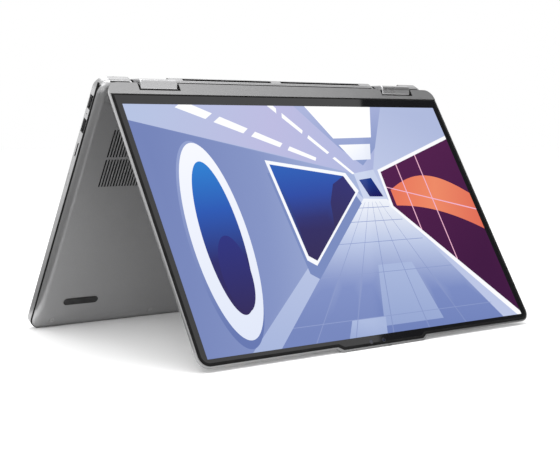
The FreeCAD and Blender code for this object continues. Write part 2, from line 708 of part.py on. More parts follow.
# ---- lid ----------------------------------------------------------------------------
def bump_outline(grow, z0, z1):
    """The low trapezoid on the lid's free edge that holds the camera."""
    root = BUMP_HALF_WIDTH + grow
    tip = BUMP_HALF_WIDTH - 5.0 + grow
    far = BODY_FRONT + BUMP_DEPTH + grow
    near = BODY_FRONT - 4.0
    edge = BODY_FRONT + grow
    corners = ((-root, near), (-root, edge), (-tip, far), (tip, far), (root, edge), (root, near))
    points = [Vector(x, y, z0) for x, y in corners]
    face = Part.Face(Part.makePolygon(points + points[:1]))
    return face.extrude(Vector(0, 0, z1 - z0))


def lid_form(inset, z0, z1, rear):
    """The lid's plan with the camera bump, inset all round."""
    half = HALF_WIDTH - inset
    plate = slab(-half, half, rear, BODY_FRONT - inset, z0, z1, CORNER_RADIUS - inset)
    return fuse([plate, bump_outline(-inset, z0, z1)])


def lid_notches(z0, z1):
    notch = box(NOTCH_IN, NOTCH_OUT, LID_REAR - 3, NOTCH_FRONT, z0, z1)
    return [notch, mirrored(notch)]


def lid_back_cover():
    shell = lid_form(0.0, RIM_Z, LID_BACK_Z, LID_REAR)
    shell = shell.makeFillet(LID_EDGE_RADIUS, edges_at_height(shell, LID_BACK_Z))
    hollow = lid_form(RIM_WIDTH, RIM_Z, LID_INNER_Z, LID_REAR + RIM_WIDTH)
    hollow = hollow.makeFillet(LID_EDGE_RADIUS - LID_WALL, edges_at_height(hollow, LID_INNER_Z))
    wall = box(NOTCH_IN - 0.8, NOTCH_OUT + 0.8, LID_REAR, NOTCH_FRONT + 0.8, RIM_Z, LID_INNER_Z)
    shell = shell.cut(hollow.cut(both_sides(wall)))
    arm_slot = box(NOTCH_IN, HINGE_IN, NOTCH_FRONT - 1, NOTCH_FRONT + 2, -1.6, LID_INNER_Z)
    shutter_slot = box(-1.2, 8.0, BODY_FRONT - 1, BODY_FRONT + BUMP_DEPTH + 1, -2.1, -1.3)
    slots = [arm_slot, mirrored(arm_slot), shutter_slot]
    return shell.cut(group(lid_notches(RIM_Z - 1, LID_BACK_Z + 1) + slots))


def hinge_chin_cover():
    """The metal strip between the screen glass and the hinge edge."""
    cap = slab(-HALF_WIDTH, HALF_WIDTH, LID_REAR, LID_REAR + 40, GLASS_Z + 0.05, RIM_Z, CORNER_RADIUS)
    cap = cap.common(box(-200, 200, 0, CHIN_FRONT, -5, 5))
    half = HALF_WIDTH - 12
    lip = box(-half, half, LID_REAR + RIM_WIDTH + 0.2, CHIN_FRONT, RIM_Z, RIM_Z + 0.5)
    room = box(NOTCH_IN - 0.9, NOTCH_OUT + 0.9, -5, NOTCH_FRONT + 0.9, RIM_Z, 0)
    lip = lip.cut(both_sides(room))
    return fuse([cap, lip]).cut(group(lid_notches(-5, 5)))


def glass_form(inset, z0, z1):
    plan = lid_form(inset, z0, z1, CHIN_FRONT - 20)
    return plan.common(box(-200, 200, CHIN_FRONT + 0.05, BODY_FRONT + 10, -9, 9))


def screen_gasket():
    """The rubber ring between the metal rim and the glass."""
    low, high = GLASS_Z + 0.15, GLASS_Z + 0.65
    ring = glass_form(RIM_WIDTH, low, high)
    return ring.cut(glass_form(RIM_WIDTH + 0.9, low - 1, high + 1))


def touch_glass():
    return glass_form(RIM_WIDTH + 0.9, GLASS_Z, GLASS_Z + 0.7)


def display_layer(low, high):
    """A sheet a little larger than the lit area, between two depths behind the glass face."""
    half = ACTIVE_WIDTH / 2 + 2.0
    front = ACTIVE_REAR + ACTIVE_HEIGHT + 1.5
    return box(-half, half, ACTIVE_REAR - 3.0, front, GLASS_Z + low, GLASS_Z + high)


CAMERA_Y = BODY_FRONT - 1.6


def camera_board():
    board = box(-38, 38, CAMERA_Y - 2.2, CAMERA_Y + 2.2, -0.2, 0.6)
    plug = box(-36, -28, CAMERA_Y - 1.5, CAMERA_Y + 0.9, 0.6, 1.4)
    return fuse([board, plug])


def camera_module():
    """The camera and, beside it, the infrared camera, each with its lens."""
    modules = []
    for x in (0.0, -14.0):
        body = box(x - 2.2, x + 2.2, CAMERA_Y - 2.1, CAMERA_Y + 2.1, -1.2, -0.2)
        lens = post(x, CAMERA_Y, -1.55, -1.2, 1.4)
        modules.append(fuse([body, lens]))
    return group(modules)


def camera_shutter():
    """A thin slide with a thumb tab on the bump's edge."""
    blade = box(3.0, 8.0, CAMERA_Y - 1.9, CAMERA_Y + 3.0, -2.05, -1.65)
    tab = box(4.0, 7.5, CAMERA_Y + 2.0, BODY_FRONT + BUMP_DEPTH + 0.4, -2.05, -1.4)
    return fuse([blade, tab])


# ---- assembly -----------------------------------------------------------------------
def base_parts():
    parts = {
        "top_case": top_case(),
        "bottom_cover": bottom_cover(),
        "bottom_screws": bottom_screws(),
        "front_feet": front_feet(),
        "rear_foot": rear_foot(),
        "keyboard_plate": keyboard_plate(),
        "touchpad": touchpad(),
        "power_button": power_button(),
        "usb_a_ports": usb_a_ports(),
        "usb_c_ports": usb_c_ports(),
        "hdmi_port": hdmi_port(),
        "card_reader": card_reader(),
        "audio_jack": audio_jack(),
        "io_board": io_board(),
        "mainboard": mainboard(),
        "ssd": card(60, 140, 101, 123, ((66, 80), (86, 100), (106, 120))),
        "wifi_card": card(-90, -60, 103, 125, ((-82, -64),)),
        "battery_pack": battery_pack(),
    }
    paired = {
        "fan_housing": fan_housing(),
        "fan_rotor": fan_rotor(),
        "heatsink": heatsink(),
        "heat_pipe": heat_pipe(),
        "speaker": speaker(),
        "base_leaf": base_leaf(),
    }
    for name, shape in paired.items():
        parts[name + "_left"] = shape
        parts[name + "_right"] = mirrored(shape)
    parts.update(key_nodes())
    return parts


def lid_parts():
    leaf = lid_leaf()
    return {
        "lid_back_cover": lid_back_cover(),
        "hinge_chin_cover": hinge_chin_cover(),
        "screen_gasket": screen_gasket(),
        "touch_glass": touch_glass(),
        "lcd_panel": display_layer(0.7, 1.8),
        "backlight_unit": display_layer(1.8, 3.4),
        "camera_board": camera_board(),
        "camera_module": camera_module(),
        "camera_shutter": camera_shutter(),
        "lid_leaf_left": leaf,
        "lid_leaf_right": mirrored(leaf),
    }


def hinge_parts():
    block = hinge_block()
    half_tooth = 180.0 / GEAR_TEETH
    opened = 180.0 - HALF_TENT_ANGLE
    return {
        "hinge_case_left": block,
        "hinge_case_right": mirrored(block),
        "idler_gears_base_side": both_sides(idler_gear(1, half_tooth + opened)),
        "idler_gears_lid_side": both_sides(idler_gear(2, -opened)),
    }


def standing(angle_deg, start):
    """The placement that turns a shut-frame group about X and sets its axis at start."""
    tilt = Placement(Vector(0, 0, 0), Rotation(X_AXIS, -STANCE_TILT))
    return tilt.multiply(Placement(start, Rotation(X_AXIS, angle_deg)))


def main():
    half = AXIS_SPACING / 2
    groups = (
        (base_parts(), standing(HALF_TENT_ANGLE - 90, Vector(0, half, 0))),
        (lid_parts(), standing(-90 - HALF_TENT_ANGLE, Vector(0, -half, 0))),
        (hinge_parts(), standing(90, Vector(0, half, 0))),
    )
    placed = {}
    limits = FreeCAD.BoundBox()
    for parts, placement in groups:
        for name, shape in parts.items():
            turned = shape.copy()
            turned.Placement = placement.multiply(shape.Placement)
            placed[name] = turned
            limits.add(turned.optimalBoundingBox(False))
    shift = Vector(0, -(limits.YMin + limits.YMax) / 2, -limits.ZMin)
    os.makedirs("parts", exist_ok=True)
    for name, shape in placed.items():
        shape.translate(shift)
        shape.exportStep("parts/" + name + ".step")
        print(name, len(shape.Solids), "solids", round(shape.Volume, 1), "mm3", shape.isValid())
    print("size", limits.XLength, limits.YLength, limits.ZLength)
    for label, parts, placement in (("base", *groups[0]), ("lid", *groups[1]), ("block", *groups[2])):
        origin = placement.Base + shift
        along = placement.Rotation.multVec(Vector(0, 1, 0))
        up = placement.Rotation.multVec(Vector(0, 0, 1))
        print("frame", label, tuple(origin), "y", tuple(along), "z", tuple(up), len(parts))


main()
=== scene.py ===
import bmesh
import bpy
import json
import math
from mathutils import Matrix, Vector
from mathutils.geometry import delaunay_2d_cdt, tessellate_polygon


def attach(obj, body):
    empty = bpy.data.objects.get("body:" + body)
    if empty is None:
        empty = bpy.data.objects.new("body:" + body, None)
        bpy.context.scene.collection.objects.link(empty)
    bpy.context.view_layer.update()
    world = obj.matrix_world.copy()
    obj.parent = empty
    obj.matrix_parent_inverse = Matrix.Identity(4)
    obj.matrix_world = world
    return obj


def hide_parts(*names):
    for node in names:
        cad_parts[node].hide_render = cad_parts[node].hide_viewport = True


# A convertible laptop standing in tent mode. Part frames are those of the CAD model:
# millimetres, X along the hinge, Y from the hinge to the free edge, Z up when shut.

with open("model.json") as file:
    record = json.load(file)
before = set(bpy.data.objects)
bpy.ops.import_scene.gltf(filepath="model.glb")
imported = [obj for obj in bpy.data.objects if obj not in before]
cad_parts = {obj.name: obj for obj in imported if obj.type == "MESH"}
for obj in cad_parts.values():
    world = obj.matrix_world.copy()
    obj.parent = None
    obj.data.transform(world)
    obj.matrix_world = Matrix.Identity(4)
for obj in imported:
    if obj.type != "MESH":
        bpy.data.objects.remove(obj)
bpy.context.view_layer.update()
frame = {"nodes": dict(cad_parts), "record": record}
record = frame["record"]
joints = {j["name"]: j for j in record["behaviour"]["joints"]}
mounts = {m["name"]: m for m in record["mounts"]}

MM = 0.001
HALF_WIDTH = 180.7
BODY_FRONT = 242.4
CORNER_RADIUS = 10.0
CHIN_FRONT = 10.85
CHIN_GAP = 0.05
GLASS_Z = -2.8
GLASS_INSET = 2.1
GLASS_THICKNESS = 0.7
GLASS_CORNER_STEPS = 10
BUMP_HALF_WIDTH = 50.0
BUMP_TIP_HALF_WIDTH = 45.0
BUMP_DEPTH = 3.0
ACTIVE_WIDTH = 344.68
ACTIVE_HEIGHT = 215.42
ACTIVE_REAR = 20.4
CAMERA_Y = 240.8


# ---- part frames --------------------------------------------------------------------
def part_frame(origin, up):
    """A matrix from a shut-pose part frame in millimetres to the row frame in metres."""
    z = Vector(up).normalized()
    x = Vector((1, 0, 0))
    y = z.cross(x)
    turned = Matrix((x, y, z)).transposed().to_4x4()
    return Matrix.Translation(Vector(origin)) @ turned @ Matrix.Scale(MM, 4)


BASE = part_frame(joints["base_to_hinge_blocks"]["pos_m"],
                  -Vector(joints["key_space_press"]["axis"]))
LID = part_frame(joints["hinge_blocks_to_lid"]["pos_m"], mounts["lid_back_rest"]["axis"])


# ---- mesh helpers -------------------------------------------------------------------
def add_object(name, data):
    obj = bpy.data.objects.new(name, data)
    bpy.context.scene.collection.objects.link(obj)
    return obj


def make_piece(name, points, faces, placement, body, material):
    """A mesh from part-frame points, riding on a body."""
    mesh = bpy.data.meshes.new(name)
    mesh.from_pydata([placement @ Vector(p) for p in points], [], faces)
    mesh.validate()
    tidy = bmesh.new()
    tidy.from_mesh(mesh)
    bmesh.ops.recalc_face_normals(tidy, faces=tidy.faces)
    tidy.to_mesh(mesh)
    tidy.free()
    mesh.materials.append(material)
    obj = add_object(name, mesh)
    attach(obj, body)
    return obj


def offset_loop(points, inset):
    """A closed counter-clockwise 2-D loop moved inwards."""
    moved = []
    count = len(points)
    for index, point in enumerate(points):
        before = (point - points[index - 1]).normalized()
        after = (points[(index + 1) % count] - point).normalized()
        left_before = Vector((-before.y, before.x))
        left_after = Vector((-after.y, after.x))
        middle = (left_before + left_after).normalized()
        moved.append(point + middle * (inset / max(0.3, middle.dot(left_after))))
    return moved


def arc_points(centre, radius, start_deg, end_deg, steps):
    """Points on a circle's arc, both ends included."""
    found = []
    for index in range(steps + 1):
        angle = math.radians(start_deg + (end_deg - start_deg) * index / steps)
        found.append(Vector((centre[0] + radius * math.cos(angle),
                             centre[1] + radius * math.sin(angle))))
    return found


# ---- material helpers ---------------------------------------------------------------
NOISE_RANGE = (0.3, 0.7)
WAVE_PERIOD = 0.314


class Surface:
    """A Principled material with shorthand node calls. Patterns use object coordinates."""

    def __init__(self, name, **constants):
        self.material = bpy.data.materials.new(name)
        self.material.use_nodes = True
        self.tree = self.material.node_tree
        self.shader = self.tree.nodes["Principled BSDF"]
        self.coords = self.tree.nodes.new("ShaderNodeTexCoord").outputs["Object"]
        for socket, value in constants.items():
            self.shader.inputs[socket.replace("_", " ")].default_value = value

    def link(self, source, target):
        self.tree.links.new(source, target)

    def noise(self, scale, detail=2.0, stretch=None):
        node = self.tree.nodes.new("ShaderNodeTexNoise")
        node.inputs["Scale"].default_value = scale
        node.inputs["Detail"].default_value = detail
        vector = self.coords
        if stretch:
            mapping = self.tree.nodes.new("ShaderNodeMapping")
            mapping.inputs["Scale"].default_value = stretch
            self.link(self.coords, mapping.inputs["Vector"])
            vector = mapping.outputs["Vector"]
        self.link(vector, node.inputs["Vector"])
        return node.outputs["Fac"]

    def ramp(self, value, *stops):
        node = self.tree.nodes.new("ShaderNodeValToRGB")
        elements = node.color_ramp.elements
        while len(elements) < len(stops):
            elements.new(0.5)
        for element, (position, colour) in zip(elements, stops):
            element.position = position
            element.color = (*colour, 1.0)
        self.link(value, node.inputs["Fac"])
        return node.outputs["Color"]

    def spread(self, value, low, high):
        """A noise value remapped to a range."""
        node = self.tree.nodes.new("ShaderNodeMapRange")
        node.inputs["From Min"].default_value = NOISE_RANGE[0]
        node.inputs["From Max"].default_value = NOISE_RANGE[1]
        node.inputs["To Min"].default_value = low
        node.inputs["To Max"].default_value = high
        self.link(value, node.inputs["Value"])
        return node.outputs["Result"]

    def math(self, operation, first, second):
        node = self.tree.nodes.new("ShaderNodeMath")
        node.operation = operation
        for socket, value in zip(node.inputs, (first, second)):
            if isinstance(value, (int, float)):
                socket.default_value = value
            else:
                self.link(value, socket)
        return node.outputs["Value"]

    def mix(self, factor, first, second, blend="MIX"):
        node = self.tree.nodes.new("ShaderNodeMix")
        node.data_type = "RGBA"
        node.blend_type = blend
        sockets = [node.inputs["Factor"]] + [s for s in node.inputs if s.type == "RGBA"]
        for socket, value in zip(sockets, (factor, first, second)):
            if isinstance(value, (int, float)):
                socket.default_value = value
            elif isinstance(value, tuple):
                socket.default_value = (*value, 1.0)
            else:
                self.link(value, socket)
        return [s for s in node.outputs if s.type == "RGBA"][0]

    def bump(self, height, distance, strength=1.0):
        node = self.tree.nodes.new("ShaderNodeBump")
        node.inputs["Strength"].default_value = strength
        node.inputs["Distance"].default_value = distance
        self.link(height, node.inputs["Height"])
        self.link(node.outputs["Normal"], self.shader.inputs["Normal"])

    def set(self, socket, source):
        self.link(source, self.shader.inputs[socket])


def grey(value):
    return (value, value, value * 1.01)


def metal_surface(name, tone, spread, roughness, grain=3200.0, grain_depth=0.00002,
                  metallic=0.9):
    """Bead-blasted anodised aluminium: fine grain, cloudy tone and faint handling marks. The
    grain also flecks the colour lighter and darker: partly the grain itself, partly painted
    sparkle.
    """
    s = Surface(name, Metallic=metallic)
    cloud = s.noise(7.0, 3.0)
    fine = s.noise(grain, 1.0)
    colour = s.ramp(cloud, (0.35, grey(tone - spread)), (0.65, grey(tone + spread)))
    # Grain flecks in the colour: partly real grain, partly painted sparkle.
    colour = s.mix(0.10, colour, s.ramp(fine, (0.3, grey(0.0)), (0.7, grey(1.0))), "OVERLAY")
    s.set("Base Color", colour)
    smudge = s.noise(38.0, 4.0)
    s.set("Roughness", s.spread(smudge, roughness - 0.035, roughness + 0.035))
    s.bump(fine, grain_depth, 0.5)
    return s.material


def brushed_surface(name, tone, roughness):
    """Plain steel with short draw lines along X."""
    s = Surface(name, Metallic=1.0)
    lines = s.noise(900.0, 3.0, (0.06, 1.0, 1.0))
    s.set("Base Color", s.ramp(lines, (0.3, grey(tone * 0.88)), (0.7, grey(tone * 1.1))))
    s.set("Roughness", s.spread(lines, roughness - 0.06, roughness + 0.08))
    s.bump(lines, 0.00003, 0.4)
    return s.material


def plastic_surface(name, colour, roughness=0.5, grain=1800.0, depth=0.00004, variation=0.18):
    """Moulded plastic with a spark-eroded grain."""
    s = Surface(name)
    fine = s.noise(grain, 2.0)
    cloud = s.noise(25.0, 3.0)
    low = tuple(c * (1 - variation) for c in colour)
    high = tuple(c * (1 + variation) for c in colour)
    s.set("Base Color", s.ramp(cloud, (0.35, low), (0.65, high)))
    s.set("Roughness", s.spread(fine, roughness - 0.06, roughness + 0.06))
    s.bump(fine, depth, 0.6)
    return s.material


def rubber_surface(name, shade=1.0, shine=0.35):
    """Matt rubber, dusty in places. The black trim made with it also paints shade into gaps,
    seams and slots.
    """
    s = Surface(name, Specular_IOR_Level=shine)
    fine = s.noise(2600.0, 3.0)
    dust = s.noise(120.0, 5.0)
    low, high = grey(0.022 * shade), grey(0.048 * shade)
    s.set("Base Color", s.ramp(dust, (0.35, low), (0.75, high)))
    s.set("Roughness", s.spread(fine, 0.62, 0.8))
    s.bump(fine, 0.00006, 0.6)
    return s.material


def board_surface(name):
    """Solder mask with copper areas showing through and small pale pads."""
    s = Surface(name)
    tracks = s.noise(420.0, 1.0, (1.0, 0.25, 1.0))
    pads = s.noise(650.0, 0.0)
    colour = s.ramp(tracks, (0.46, (0.008, 0.035, 0.03)), (0.54, (0.015, 0.06, 0.048)))
    colour = s.mix(s.spread(pads, -1.5, 1.0), colour, (0.45, 0.44, 0.4))
    s.set("Base Color", colour)
    s.set("Roughness", s.spread(tracks, 0.32, 0.5))
    s.bump(tracks, 0.00005, 0.5)
    return s.material


def foil_surface(name):
    """The battery cells' creased black foil, painted darker in the creases' hollows and lighter
    on their ridges: painted shade and painted highlight.
    """
    s = Surface(name)
    creases_with_painted_shade = s.noise(60.0, 5.0)
    low, high = (0.012, 0.012, 0.013), (0.035, 0.035, 0.037)
    # The colour follows the crease height: painted shade in the hollows, painted highlight on the
    # ridges.
    s.set("Base Color", s.ramp(creases_with_painted_shade, (0.3, low), (0.75, high)))
    s.set("Roughness", s.spread(creases_with_painted_shade, 0.3, 0.5))
    s.bump(creases_with_painted_shade, 0.0003, 0.4)
    return s.material


def copper_surface(name):
    s = Surface(name, Metallic=1.0)
    tarnish = s.noise(90.0, 4.0)
    s.set("Base Color", s.ramp(tarnish, (0.3, (0.55, 0.27, 0.16)), (0.7, (0.8, 0.45, 0.3))))
    s.set("Roughness", s.spread(tarnish, 0.25, 0.4))
    return s.material


def glass_surface(name, colour, roughness=0.03):
    """Glossy glass over black print, with faint finger grease in the roughness."""
    s = Surface(name, IOR=1.52)
    grease = s.noise(26.0, 4.0)
    s.set("Base Color", s.ramp(grease, (0.3, colour), (0.8, tuple(c * 1.25 for c in colour))))
    s.set("Roughness", s.spread(grease, roughness * 0.7, roughness * 1.5))
    return s.material


def mesh_surface(name, pitch):
    """Black woven dust mesh: crossed threads, with painted shade in the pits between them."""
    s = Surface(name, Specular_IOR_Level=0.2)
    waves = []
    for axis in ("X", "Y"):
        node = s.tree.nodes.new("ShaderNodeTexWave")
        node.bands_direction = axis
        node.inputs["Scale"].default_value = WAVE_PERIOD / pitch
        node.inputs["Distortion"].default_value = 0.0
        s.link(s.coords, node.inputs["Vector"])
        waves.append(node.outputs["Fac"])
    height = s.math("MAXIMUM", *waves)
    # The pits between the threads are painted darker than the threads: painted shade.
    painted_pit_shade, thread = (0.001, 0.001, 0.001), (0.012, 0.012, 0.013)
    s.set("Base Color", s.ramp(height, (0.55, painted_pit_shade), (0.95, thread)))
    s.set("Roughness", s.spread(height, 0.75, 0.9))
    s.bump(height, 0.0001, 0.5)
    return s.material


def legend_surface(name):
    """Printed key legends, slightly worn."""
    s = Surface(name)
    wear = s.noise(900.0, 3.0)
    s.set("Base Color", s.ramp(wear, (0.3, (0.62, 0.63, 0.65)), (0.6, (0.80, 0.81, 0.83))))
    s.set("Roughness", s.spread(wear, 0.45, 0.6))
    return s.material


def lens_surface(name):
    """A dark coated lens with a bluish bloom towards its middle."""
    s = Surface(name, IOR=1.7)
    bloom = s.noise(500.0, 1.0)
    s.set("Base Color", s.ramp(bloom, (0.3, (0.004, 0.004, 0.012)), (0.7, (0.012, 0.016, 0.045))))
    s.set("Roughness", s.spread(bloom, 0.03, 0.07))
    return s.material


def touchpad_surface(name):
    s = Surface(name, Metallic=0.55)
    fine = s.noise(2800.0, 1.0)
    cloud = s.noise(15.0, 2.0)
    s.set("Base Color", s.ramp(cloud, (0.3, grey(0.26)), (0.7, grey(0.29))))
    s.set("Roughness", s.spread(fine, 0.27, 0.36))
    s.bump(fine, 0.00001, 0.4)
    return s.material


SHELL = metal_surface("anodised_shell", tone=0.40, spread=0.010, roughness=0.36)
HINGE = metal_surface("hinge_metal", tone=0.55, spread=0.012, roughness=0.27, grain=4200.0,
                      grain_depth=0.00001, metallic=1.0)
STEEL = brushed_surface("steel", tone=0.5, roughness=0.34)
PORT = brushed_surface("port_metal", tone=0.32, roughness=0.36)
RUBBER = rubber_surface("black_rubber")
# Black trim, and the black of the strips, liners and blocks that paint shade into gaps, seams and
# slots.
BLACK_TRIM_AND_SHADE = rubber_surface("black_trim_and_painted_shade", shade=0.25, shine=0.12)
KEY = plastic_surface("key_plastic", (0.055, 0.056, 0.060), roughness=0.48, grain=2400.0,
                      depth=0.00002, variation=0.08)
BLACK = plastic_surface("black_plastic", (0.018, 0.018, 0.019))
WHITE = plastic_surface("white_plastic", (0.72, 0.72, 0.70), variation=0.05)
BOARD = board_surface("circuit_board")
FOIL = foil_surface("cell_foil")
COPPER = copper_surface("copper")
FINS = brushed_surface("fin_aluminium", tone=0.6, roughness=0.3)
GLASS = glass_surface("cover_glass", (0.008, 0.008, 0.009))
PAD = touchpad_surface("touchpad_glass")
DUST_MESH = mesh_surface("dust_mesh", pitch=0.0006)
LEGEND = legend_surface("key_legend")
LENS = lens_surface("camera_lens")

BY_SLOT = {
    "anodised_shell": SHELL, "hinge_metal": HINGE, "steel": STEEL, "port_metal": PORT,
    "black_rubber": RUBBER, "cover_glass": GLASS, "lcd_glass": GLASS, "key_plastic": KEY,
    "black_plastic": BLACK, "white_plastic": WHITE, "circuit_board": BOARD, "cell_foil": FOIL,
    "copper": COPPER, "fin_aluminium": FINS,
}

for part in record["subparts"]:
    node = part["node"]
    surface = {"touchpad": PAD, "screen_gasket": BLACK_TRIM_AND_SHADE}.get(node, BY_SLOT[part["material_slot"]])
    cad = frame["nodes"][node]
    cad.data.materials.clear()
    cad.data.materials.append(surface)


# ---- screen: glass border and lit picture -------------------------------------------
def glass_outline():
    """The glass sheet's outer edge in the lid frame, counter-clockwise seen from the back."""
    half = HALF_WIDTH - GLASS_INSET
    front = BODY_FRONT - GLASS_INSET
    radius = CORNER_RADIUS - GLASS_INSET
    rear = CHIN_FRONT + CHIN_GAP
    loop = [Vector((-half, rear)), Vector((half, rear))]
    loop += arc_points((half - radius, front - radius), radius, 0, 90, GLASS_CORNER_STEPS)
    loop += [
        Vector((BUMP_HALF_WIDTH - GLASS_INSET, front)),
        Vector((BUMP_TIP_HALF_WIDTH - GLASS_INSET, front + BUMP_DEPTH)),
        Vector((-BUMP_TIP_HALF_WIDTH + GLASS_INSET, front + BUMP_DEPTH)),
        Vector((-BUMP_HALF_WIDTH + GLASS_INSET, front)),
    ]
    loop += arc_points((-half + radius, front - radius), radius, 90, 180, GLASS_CORNER_STEPS)
    return loop


def glass_border():
    """The black printed border: a thin plate with a soft outer edge and a window."""
    outer = glass_outline()
    x = ACTIVE_WIDTH / 2
    window = [Vector((-x, ACTIVE_REAR)), Vector((x, ACTIVE_REAR)),
              Vector((x, ACTIVE_REAR + ACTIVE_HEIGHT)), Vector((-x, ACTIVE_REAR + ACTIVE_HEIGHT))]
    # Inset and depth of each ring, from the matt band on the face round to the back
    rings = ((1.5, 0.0), (0.30, 0.0), (0.12, 0.05), (0.03, 0.15), (0.0, 0.32),
             (0.0, GLASS_THICKNESS))
    points, faces = [], []
    for inset, depth in rings:
        points += [(p.x, p.y, GLASS_Z + depth) for p in offset_loop(outer, inset)]
    count = len(outer)
    for ring in range(len(rings) - 1):
        for index in range(count):
            following = (index + 1) % count
            faces.append((ring * count + index, ring * count + following,
                          (ring + 1) * count + following, (ring + 1) * count + index))
    first = len(points)
    for depth in (0.0, GLASS_THICKNESS):
        points += [(p.x, p.y, GLASS_Z + depth) for p in window]
    for index in range(4):
        following = (index + 1) % 4
        faces.append((first + index, first + following, first + 4 + following, first + 4 + index))
    for ring, start in ((0, first), (len(rings) - 1, first + 4)):
        loops = [[Vector(points[ring * count + i]) for i in range(count)],
                 [Vector(points[start + i]) for i in range(4)]]
        indexes = [ring * count + i for i in range(count)] + [start + i for i in range(4)]
        for triangle in tessellate_polygon(loops):
            faces.append(tuple(indexes[i] for i in triangle))
    obj = make_piece("glass_border", points, faces, LID, "lid", GLASS)
    obj.data.materials.append(BLACK_TRIM_AND_SHADE)
    for polygon in obj.data.polygons[:(len(rings) - 1) * count]:
        polygon.material_index = 1
    return obj


# The picture is a plain hall of our own. A shape is a polygon and a colour function, in
# display shares: u from the left, w from the hinge side, which is the picture's top.
VANISHING = (0.647, 0.385)
OVAL_LEAN_DEG = -1.5
OVAL_STEPS = 72


def srgb(code):
    """Linear colour of a six-digit hexadecimal code."""
    values = [int(code[i:i + 2], 16) / 255 for i in (0, 2, 4)]
    return tuple(v / 12.92 if v <= 0.04045 else ((v + 0.055) / 1.055) ** 2.4 for v in values)


def fade(start, end, *codes):
    """A straight colour gradient between two points of the picture."""
    colours = [srgb(code) for code in codes]
    span = Vector(end) - Vector(start)

    def colour(u, w):
        share = (Vector((u, w)) - Vector(start)).dot(span) / max(1e-9, span.length_squared)
        share = min(0.999999, max(0.0, share)) * (len(colours) - 1)
        index = int(share)
        part = share - index
        return tuple(a + (b - a) * part for a, b in zip(colours[index], colours[index + 1]))

    return colour


def plain(code):
    return fade((0, 0), (1, 0), code, code)


def between(a, b, share):
    return (a[0] + (b[0] - a[0]) * share, a[1] + (b[1] - a[1]) * share)


def upright_line(a, b, half_a, half_b):
    """A line from a to b as a polygon, with half its width given at either end."""
    return [(a[0] - half_a, a[1]), (a[0] + half_a, a[1]),
            (b[0] + half_b, b[1]), (b[0] - half_b, b[1])]


def oval(centre, long_half, short_half):
    """An upright oval that leans a little."""
    lean = math.radians(OVAL_LEAN_DEG)
    along = Vector((math.sin(lean), math.cos(lean)))
    across = Vector((along.y, -along.x))
    points = []
    for index in range(OVAL_STEPS):
        angle = 2 * math.pi * index / OVAL_STEPS
        p = Vector(centre) + along * long_half * math.cos(angle)
        p += across * short_half * math.sin(angle)
        points.append((p.x, p.y))
    return points


def hall_walls():
    """A ground colour, then ceiling, left wall, floor and right wall."""
    return [
        ([(0, 0), (1, 0), (1, 1), (0, 1)], plain("AEB9DD")),
        ([(0, 0), (0.79, 0), (0.684, 0.30), (0.612, 0.315), (0, 0.068)],
         fade((0.05, 0.0), (0.75, 0.25), "B3C0E0", "B9B8DE", "A9B4DC")),
        ([(0, 0.068), (0.612, 0.315), (0.612, 0.43), (0.20, 1), (0, 1)],
         fade((0.0, 0.4), (0.58, 0.5), "6D7EB6", "7F8FC2", "A3B2D8")),
        ([(0.612, 0.43), (0.69, 0.435), (0.93, 1), (0.20, 1)],
         fade((0.64, 0.43), (0.55, 1.0), "F2F5FB", "BCC8E6", "7B8CC3", "6F81BA")),
        ([(0.69, 0.435), (0.684, 0.30), (0.79, 0), (1, 0), (1, 1), (0.93, 1)],
         fade((0.7, 0.3), (0.95, 0.1), "BDC7E6", "AFBADD")),
    ]


def floor_tiles():
    """Two lighter blocks of tiles, joints that run to the far end, and joints across."""
    shapes = []
    for left, right, near, far in ((0.52, 0.72, 0.97, 0.72), (0.40, 0.52, 1.0, 0.93)):
        a, b = (left, near), (right, near)
        share = (near - far) / (near - VANISHING[1])
        c, d = between(b, VANISHING, share), between(a, VANISHING, share)
        shapes.append(([a, b, c, d], fade(a, d, "95A6D2", "A9B8DD")))
    for foot in (0.30, 0.42, 0.54, 0.66, 0.79):
        end = between((foot, 1.0), VANISHING, 0.90)
        shapes.append((upright_line((foot, 1.0), end, 0.0014, 0.0004), plain("8796C6")))
    joint_width = 0.0026
    for near in (0.47, 0.53, 0.62, 0.75, 0.93):
        share = (near - VANISHING[1]) / (1 - VANISHING[1])
        left, right = (between(VANISHING, (u, 1.0), share)[0] for u in (0.175, 0.94))
        shapes.append(([(left, near), (right, near), (right, near + joint_width),
                        (left, near + joint_width)], plain("8C9BCA")))
    return shapes


def skirting_and_skylights():
    """The left wall's pale skirting, the skylights' recess and the two skylights."""
    return [
        ([(0.612, 0.43), (0.60, 0.40), (0.12, 1.0), (0.20, 1.0)],
         fade((0.6, 0.4), (0.16, 1.0), "C2CCE8", "A4B3DA")),
        ([(0.50, 0), (0.80, 0), (0.72, 0.20), (0.655, 0.28), (0.60, 0.20)],
         fade((0.6, 0), (0.66, 0.26), "A9B2DA", "8697C8")),
        ([(0.535, 0), (0.762, 0), (0.722, 0.148), (0.590, 0.152)], plain("FFFFFF")),
        ([(0.600, 0.182), (0.709, 0.179), (0.690, 0.252), (0.628, 0.254)],
         fade((0.6, 0.18), (0.66, 0.25), "FFFFFF", "E9EEFA")),
    ]


def ceiling_lights():
    """Two rows of slanted lights, each between an outer and an inner edge line."""
    lit_share, skew = 0.79, 0.085
    rows = (
        ((0.189, 0.0), (0.60, 0.306), (0.120, 0.0), (0.60, 0.317), -0.050, 0.219, 4),
        ((0.434, 0.0), (0.60, 0.288), (0.415, 0.0), (0.59, 0.290), -0.240, 0.355, 4),
    )
    shapes = []
    for outer_start, outer_end, inner_start, inner_end, first, step, count in rows:
        for index in range(count):
            start = first + index * step
            end = start + step * lit_share
            skewed = [share + skew * (1 - share) for share in (end, start)]
            outer = [between(outer_start, outer_end, share) for share in (start, end)]
            inner = [between(inner_start, inner_end, share) for share in skewed]
            shapes.append((outer + inner, plain("FDFEFF")))
    return shapes


